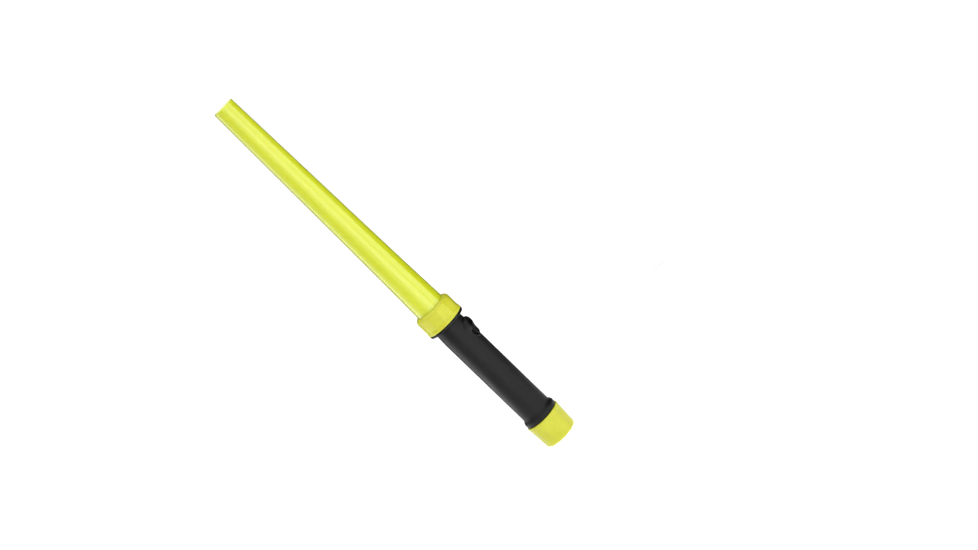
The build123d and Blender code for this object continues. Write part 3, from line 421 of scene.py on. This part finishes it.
def clear_lens():
    """Clear polycarbonate with fine hairline scratches and a little dust."""
    s = Shader("clear_lens")
    dust = s.ramp(s.noise(0.6, detail=5.0), 0.58, 0.76)
    hair = s.scratches(size=1.1, share=0.12, turn=80.0)
    colour = s.mix(s.math("MULTIPLY", dust, 0.3), (0.93, 0.95, 0.96), (0.80, 0.82, 0.82))
    s.set(
        Base_Color=colour,
        Roughness=s.math("ADD", 0.05, s.math("MULTIPLY", s.math("MAXIMUM", dust, hair), 0.16)),
        Transmission_Weight=0.9,
        IOR=1.58,
    )
    s.bump((hair, -0.01))
    return s.material


def cell_wrap():
    """Plain grey shrink sleeve: satin film with shrink wrinkles along it and rub marks."""
    s = Shader("cell_wrap")
    wrinkles = s.noise(2.4, detail=3.0, stretch=(1.0, 1.0, 0.12))
    rubs = s.scratches(size=2.0, share=0.14, turn=50.0)
    cloud = s.noise(12.0, detail=4.0)
    colour = s.mottle(cloud, (0.065, 0.078, 0.095), (0.090, 0.102, 0.120))
    colour = s.cover(colour, rubs, 0.4, (0.30, 0.31, 0.33))
    s.set(Base_Color=colour, Roughness=s.spread(cloud, 0.26, 0.38))
    s.bump((wrinkles, 0.05), (rubs, -0.01))
    return s.material


def black_plastic():
    """The barrel and the switch: smooth black moulding."""
    return dark_moulding(
        "black_plastic",
        tone=(0.0072, 0.0070, 0.0074),
        roughness=0.30,
        grain_size=0.30,
        grain_depth=0.015,
        wear=0.30,
    )


def grip_rubber():
    """The sleeve: a satin black with a coarser grain."""
    return dark_moulding(
        "grip_rubber",
        tone=(0.0068, 0.0066, 0.0070),
        roughness=0.46,
        grain_size=0.38,
        grain_depth=0.030,
        wear=0.20,
    )


def seal_rubber():
    """O-rings and the gasket: fine-grained and hardly worn."""
    return dark_moulding(
        "seal_rubber",
        tone=(0.0055, 0.0055, 0.0058),
        roughness=0.42,
        grain_size=0.25,
        grain_depth=0.012,
        wear=0.10,
    )


def brass():
    """Stamped contacts, brushed along the baton."""
    return metal(
        "brass",
        tone=(0.78, 0.58, 0.25),
        dark=(0.30, 0.19, 0.07),
        roughness=0.26,
        brush=(1.0, 1.0, 0.12),
        brush_size=0.5,
        stain=0.35,
    )


def screw_steel():
    """Plated screws with turned lines round them."""
    return metal(
        "screw_steel",
        tone=(0.62, 0.61, 0.58),
        dark=(0.25, 0.20, 0.15),
        roughness=0.30,
        brush=TURNED_LINES,
        brush_size=0.3,
        stain=0.30,
    )


def cell_steel():
    """The cells' nickel-plated cans and nubs."""
    return metal(
        "cell_steel",
        tone=(0.66, 0.65, 0.62),
        dark=(0.34, 0.31, 0.27),
        roughness=0.28,
        brush=TURNED_LINES,
        brush_size=0.6,
        stain=0.25,
    )


def spring_steel():
    """Nickel-plated wire, with a grain that has no direction."""
    return metal(
        "spring_steel",
        tone=(0.60, 0.60, 0.60),
        dark=(0.22, 0.17, 0.12),
        roughness=0.26,
        brush=(1.0, 1.0, 1.0),
        brush_size=0.4,
        stain=0.30,
    )


def all_materials():
    """One material for each slot of the record."""
    makers = (
        wand_plastic,
        cap_plastic,
        black_plastic,
        grip_rubber,
        seal_rubber,
        white_nylon,
        brass,
        circuit_board,
        chip_black,
        led_board,
        led_ceramic,
        led_silicone,
        screw_steel,
        mirror_metal,
        clear_lens,
        cell_steel,
        cell_wrap,
        spring_steel,
    )
    return {maker.__name__: maker() for maker in makers}


# ---------------------------------------------------------------- pieces
# The collar and the tail cap are closed grids wrapped round the baton's axis. Radii and heights are in
# millimetres, counted from the box of the CAD node that the piece stands for.
ROUND_STEPS = 720
SECTION_STEP = 0.3
FLAT_COUNT = 12
FLAT_RUNOUT = 2.3
FLAT_RUNOUT_DEPTH = 1.6
COLLAR_FLAT_ANGLE = 14.0
CAP_FLAT_ANGLE = 19.0
CORNER_ROUND = 0.30
RIM_ROUND = 0.6
DOME_RADIUS = 5.2
CAP_END_ROUND = 2.4
CAP_FLOOR = 3.0
AXIS_RING = 0.4
COLLAR_THREAD_RISE = 3.25
CAP_THREAD_BOTTOM = 12.0
THREAD_FIRST_ANGLE = 180.0
THREAD_PITCH = 4.0
THREAD_TURNS = 1.5
THREAD_HEIGHT = 0.85
THREAD_HALF_ROOT = 1.0
THREAD_HALF_CREST = 0.45
THREAD_FADE = 0.05


def soft_min(a, b, reach):
    """The smaller of two lengths, blended over a reach so that the crease between them is round."""
    overlap = max(reach - abs(a - b), 0.0) / reach
    return min(a, b) - overlap * overlap * reach / 4.0


def flat_radius(distance, angle, first_angle):
    """Radius, at this angle, of the nearest of the flats that stand this far from the axis."""
    step = 360.0 / FLAT_COUNT
    off = (angle - first_angle + step / 2.0) % step - step / 2.0
    return distance / math.cos(math.radians(off))


def runout(past):
    """How much further out a flat's face stands, this far past the place where it starts to run out."""
    return max(past, 0.0) ** 2 * FLAT_RUNOUT_DEPTH / FLAT_RUNOUT ** 2


def ridge_height(z, angle, first_z):
    """How far a helical ridge stands off the wall at this height and angle."""
    best = 0.0
    for lap in range(math.ceil(THREAD_TURNS)):
        turn = (angle - THREAD_FIRST_ANGLE) / 360.0 % 1.0 + lap
        if turn > THREAD_TURNS:
            continue
        off = abs(z - first_z - turn * THREAD_PITCH)
        rise = (THREAD_HALF_ROOT - off) / (THREAD_HALF_ROOT - THREAD_HALF_CREST)
        fade = min(turn, THREAD_TURNS - turn) / THREAD_FADE
        best = max(best, min(rise, fade, 1.0) * THREAD_HEIGHT)
    return best


def wrapped_mesh(name, loop, radius_at, closed):
    """A mesh from a section's (radius, height, kind) points, carried round the axis.

    A closed section makes a ring. An open one starts and ends near the axis, and a fan closes each end.
    """
    verts, faces = [], []
    rows = len(loop)
    for radius, z, kind in loop:
        for i in range(ROUND_STEPS):
            angle = 360.0 * i / ROUND_STEPS
            r = radius_at(radius, z, kind, angle)
            a = math.radians(angle)
            verts.append((r * math.cos(a) * MM, r * math.sin(a) * MM, z * MM))
    for j in range(rows if closed else rows - 1):
        for i in range(ROUND_STEPS):
            n, k = (i + 1) % ROUND_STEPS, (j + 1) % rows
            faces.append((j * ROUND_STEPS + i, j * ROUND_STEPS + n, k * ROUND_STEPS + n, k * ROUND_STEPS + i))
    if not closed:
        for row, z, turn_over in ((0, loop[0][1], True), (rows - 1, loop[-1][1], False)):
            verts.append((0.0, 0.0, z * MM))
            middle = len(verts) - 1
            for i in range(ROUND_STEPS):
                n = (i + 1) % ROUND_STEPS
                a, b = row * ROUND_STEPS + i, row * ROUND_STEPS + n
                faces.append((middle, b, a) if turn_over else (middle, a, b))
    mesh = bpy.data.meshes.new(name)
    mesh.from_pydata(verts, [], faces)
    mesh.shade_smooth()
    piece = bpy.data.objects.new(name, mesh)
    bpy.context.scene.collection.objects.link(piece)
    return piece


def walk(points, step):
    """Points along a section's straight runs, no further apart than a step. Each run keeps its kind."""
    out = []
    for (r0, z0, kind), (r1, z1, _) in zip(points, points[1:]):
        count = max(1, math.ceil(math.hypot(r1 - r0, z1 - z0) / step))
        for i in range(count):
            out.append((r0 + (r1 - r0) * i / count, z0 + (z1 - z0) * i / count, kind))
    out.append(points[-1])
    return out


def arc(middle, radius, start, end, count, kind):
    """Points of an arc in the section, its angles in degrees from the outward direction."""
    out = []
    for i in range(count + 1):
        a = math.radians(start + (end - start) * i / count)
        out.append((middle[0] + radius * math.cos(a), middle[1] + radius * math.sin(a), kind))
    return out


def finish_piece(piece, node, body, material):
    """The piece takes the place of a CAD node, and moves with its body."""
    piece.data.materials.append(material)
    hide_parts(node)
    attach(piece, body)


def add_collar(material):
    """Ring nut: round lip, twelve flats that run out in arcs, domed shoulder, chamber and thread inside."""
    low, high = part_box("collar")
    lip = min(high[0], -low[0], high[1], -low[1]) / MM
    bottom, top = low[2] / MM, high[2] / MM
    body, flat = lip - 0.5, lip - 1.1
    lip_low, lip_top = bottom + RIM_ROUND, bottom + 1.25
    body_bottom, flat_stop = bottom + 3.15, bottom + 4.35
    shoulder, seat, chamber_bottom = top - 3.8, top - 2.4, top - 8.8
    mouth, mouth_edge, chamber, bore = lip - 5.1, lip - 4.6, lip - 3.2, lip - 2.5
    chord = math.hypot(body - mouth_edge, top - shoulder)
    lean = math.atan2(top - shoulder, body - mouth_edge)
    rise = math.sqrt(DOME_RADIUS * DOME_RADIUS - chord * chord / 4.0)
    centre = (
        (body + mouth_edge) / 2.0 - math.sin(lean) * rise,
        (shoulder + top) / 2.0 - math.cos(lean) * rise,
    )
    start = math.degrees(math.atan2(shoulder - centre[1], body - centre[0]))
    end = math.degrees(math.atan2(top - centre[1], mouth_edge - centre[0]))
    outside = (
        arc((lip - RIM_ROUND, lip_low), RIM_ROUND, -90.0, 0.0, 5, "out")
        + walk([(lip, lip_low, "out"), (lip, lip_top, "out")], SECTION_STEP)[1:]
        + walk([(lip - 0.02, lip_top + 0.15, "out"), (body, body_bottom, "out")], 0.2)
        + walk([(body, body_bottom, "out"), (body, shoulder, "out")], 0.25)[1:]
        + arc(centre, DOME_RADIUS, start, end, 26, "out")[1:]
    )
    inside = walk(
        [
            (mouth_edge - 0.1, top - 0.02, "in"),
            (mouth, top - 0.4, "in"),
            (mouth, seat, "in"),
            (chamber, seat, "in"),
            (chamber, chamber_bottom, "in"),
            (bore, chamber_bottom, "thread"),
            (bore, bottom, "in"),
            (lip - 0.65, bottom, "in"),
        ],
        SECTION_STEP,
    )

    def radius_at(radius, z, kind, angle):
        if kind == "thread":
            return radius - ridge_height(z, angle, bottom + COLLAR_THREAD_RISE)
        if kind != "out" or z < flat_stop - FLAT_RUNOUT:
            return radius
        face = flat + runout(flat_stop - z)
        return soft_min(radius, flat_radius(face, angle, COLLAR_FLAT_ANGLE), CORNER_ROUND)

    piece = wrapped_mesh("collar_moulding", outside + inside, radius_at, True)
    finish_piece(piece, "collar", "collar", material)


def add_tail_cap(material):
    """Screw cap: round rim, twelve tapered flats, rounded end, seal bore and thread inside."""
    low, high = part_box("tail_cap")
    rim = min(high[0], -low[0], high[1], -low[1]) / MM
    top = high[2] / MM
    end, end_face = rim - 1.2, rim - 1.2 - CAP_END_ROUND
    rim_bottom, rim_top = top - 2.5, top - RIM_ROUND
    flat_low, flat_high, flat_stop = rim - 1.7, rim - 0.55, top - 4.9
    bore, seal_bore, seal_bottom = rim - 3.0, rim - 2.7, top - 3.1
    outside = (
        walk([(AXIS_RING, 0.0, "in"), (end_face, 0.0, "out")], 0.8)
        + arc((end_face, CAP_END_ROUND), CAP_END_ROUND, -90.0, 0.0, 16, "out")[1:]
        + walk([(end, CAP_END_ROUND, "out"), (rim, rim_bottom, "out")], SECTION_STEP)[1:]
        + walk([(rim, rim_bottom, "out"), (rim, rim_top, "out")], SECTION_STEP)[1:]
        + arc((rim - RIM_ROUND, rim_top), RIM_ROUND, 0.0, 90.0, 5, "out")[1:]
    )
    inside = walk(
        [
            (rim - 0.7, top, "in"),
            (seal_bore + 0.25, top, "in"),
            (seal_bore, top - 0.25, "in"),
            (seal_bore, seal_bottom, "in"),
            (bore, seal_bottom - 0.2, "thread"),
            (bore, CAP_FLOOR, "in"),
            (AXIS_RING, CAP_FLOOR, "in"),
        ],
        0.35,
    )

    def radius_at(radius, z, kind, angle):
        if kind == "thread":
            return radius - ridge_height(z, angle, CAP_THREAD_BOTTOM)
        if kind != "out" or z > flat_stop + FLAT_RUNOUT:
            return radius
        share = (z - CAP_END_ROUND) / (flat_stop - CAP_END_ROUND)
        face = flat_low + (flat_high - flat_low) * min(share, 1.0) + runout(z - flat_stop)
        if z < CAP_END_ROUND:
            rounded = CAP_END_ROUND ** 2 - (CAP_END_ROUND - z) ** 2
            face = flat_low - CAP_END_ROUND + math.sqrt(max(rounded, 0.0))
        return soft_min(radius, flat_radius(face, angle, CAP_FLAT_ANGLE), CORNER_ROUND)

    piece = wrapped_mesh("tail_cap_moulding", outside + inside, radius_at, False)
    finish_piece(piece, "tail_cap", "tail_cap", material)


def paint_nodes(materials):
    """Each CAD node's slot takes the material of the record's slot."""
    for part in frame["record"]["subparts"]:
        node = frame["nodes"][part["node"]]
        for holder in node.material_slots:
            holder.material = materials[part["material_slot"]]


# ---------------------------------------------------------------- studio
# Lengths are in metres here.
FLOOR_RADIUS = 6.0
FLOOR_CURVE = 1.6
FLOOR_CURVE_STEPS = 9
FLOOR_STEPS = 64
FLOOR_GLOW = 0.72
WORLD_LIGHT = 0.40
STRIP_DISTANCE = 0.28
STRIP_HEIGHT = 0.6
CARD_DISTANCE = 0.25
CARD_FOOT = 0.002
CARD_TOP = 0.5


def sheet_mesh(name, verts, faces, material):
    mesh = bpy.data.meshes.new(name)
    mesh.from_pydata(verts, [], faces)
    mesh.materials.append(material)
    made = bpy.data.objects.new(name, mesh)
    bpy.context.scene.collection.objects.link(made)
    return made


def add_floor():
    """A pale level floor that curves up far away all round, so that the picture is white to its corners."""
    s = Shader("floor_pale")
    tint = s.noise(400.0, detail=3.0)
    s.set(
        Base_Color=s.mix(tint, (0.68, 0.68, 0.68), (0.72, 0.72, 0.72)),
        Roughness=0.9,
        Specular_IOR_Level=0.0,
        Emission_Color=(1.0, 1.0, 1.0, 1.0),
        Emission_Strength=FLOOR_GLOW,
    )
    rings = [(FLOOR_RADIUS, 0.0)]
    for i in range(1, FLOOR_CURVE_STEPS + 1):
        a = math.radians(90.0 * i / FLOOR_CURVE_STEPS)
        rings.append((FLOOR_RADIUS + FLOOR_CURVE * math.sin(a), FLOOR_CURVE - FLOOR_CURVE * math.cos(a)))
    verts = [(0.0, 0.0, FLOOR_HEIGHT)]
    faces = []
    for radius, height in rings:
        for i in range(FLOOR_STEPS):
            a = 2.0 * math.pi * i / FLOOR_STEPS
            verts.append((radius * math.cos(a), radius * math.sin(a), FLOOR_HEIGHT + height))
    for i in range(FLOOR_STEPS):
        faces.append((0, 1 + i, 1 + (i + 1) % FLOOR_STEPS))
    for j in range(len(rings) - 1):
        for i in range(FLOOR_STEPS):
            a, b = 1 + j * FLOOR_STEPS + i, 1 + j * FLOOR_STEPS + (i + 1) % FLOOR_STEPS
            faces.append((a, a + FLOOR_STEPS, b + FLOOR_STEPS, b))
    floor = sheet_mesh("floor", verts, faces, s.material)
    for face in floor.data.polygons:
        face.use_smooth = True


def add_strip(name, turn, width, radiance):
    """An upright softbox that faces the baton. The turn is in degrees to the camera's right."""
    out = compass(CAMERA_AZIMUTH + turn)
    data = bpy.data.lights.new(name, "AREA")
    data.shape = "RECTANGLE"
    data.size, data.size_y = width, STRIP_HEIGHT
    data.energy = radiance * math.pi * width * STRIP_HEIGHT
    lamp = bpy.data.objects.new(name, data)
    lamp.location = out * STRIP_DISTANCE + Vector((0.0, 0.0, STRIP_HEIGHT / 2.0))
    lamp.rotation_mode = "QUATERNION"
    lamp.rotation_quaternion = out.to_track_quat("Z", "Y")
    lamp.visible_camera = False
    bpy.context.scene.collection.objects.link(lamp)


def add_level_light(name, turn, distance, height, width, radiance, up=False):
    """A square softbox that lies level. It shines down from above, or up from low beside the baton."""
    data = bpy.data.lights.new(name, "AREA")
    data.size = width
    data.energy = radiance * math.pi * width * width
    lamp = bpy.data.objects.new(name, data)
    lamp.location = compass(CAMERA_AZIMUTH + turn) * distance + Vector((0.0, 0.0, height))
    lamp.rotation_euler = (math.pi if up else 0.0, 0.0, 0.0)
    lamp.visible_camera = False
    bpy.context.scene.collection.objects.link(lamp)


def add_card(name, turn, width, tone):
    """A grey or black card beside the baton. It darkens one edge, and the camera doesn't see it."""
    s = Shader(name)
    s.set(Base_Color=(tone, tone, tone, 1.0), Roughness=0.9, Specular_IOR_Level=0.0)
    out = compass(CAMERA_AZIMUTH + turn)
    side = compass(CAMERA_AZIMUTH + turn + 90.0) * (width / 2.0)
    middle = out * CARD_DISTANCE
    foot = Vector((0.0, 0.0, CARD_FOOT))
    top = Vector((0.0, 0.0, CARD_TOP))
    corners = [middle - side + foot, middle + side + foot, middle + side + top, middle - side + top]
    card = sheet_mesh(name, [tuple(c) for c in corners], [(0, 1, 2, 3)], s.material)
    card.visible_camera = False


def light_world():
    world = bpy.data.worlds.new("studio")
    world.use_nodes = True
    world.node_tree.nodes["Background"].inputs["Color"].default_value = (1.0, 1.0, 1.0, 1.0)
    world.node_tree.nodes["Background"].inputs["Strength"].default_value = WORLD_LIGHT
    bpy.context.scene.world = world


def set_colour():
    view = bpy.context.scene.view_settings
    view.view_transform = "Standard"
    view.look = "None"
    view.exposure = 0.0
    view.gamma = 1.0


def build():
    add_camera()
    set_colour()
    materials = all_materials()
    paint_nodes(materials)
    add_collar(materials["cap_plastic"])
    add_tail_cap(materials["cap_plastic"])
    add_floor()
    light_world()
    add_strip("key_front", turn=8.0, width=0.160, radiance=1.04)
    add_strip("key_right", turn=58.0, width=0.200, radiance=0.58)
    add_strip("rim_left", turn=-118.0, width=0.094, radiance=0.8)
    add_level_light("top", turn=0.0, distance=0.0, height=1.5, width=1.6, radiance=1.7)
    add_level_light("low_left", turn=-103.0, distance=0.40, height=0.01, width=0.40, radiance=2.7, up=True)
    add_card("flag_right", turn=104.0, width=0.26, tone=0.02)
    add_card("flag_left", turn=-58.0, width=0.25, tone=0.55)
    add_card("flag_back_left", turn=-152.0, width=0.22, tone=0.15)
    add_card("flag_back_right", turn=150.0, width=0.18, tone=0.10)


build()
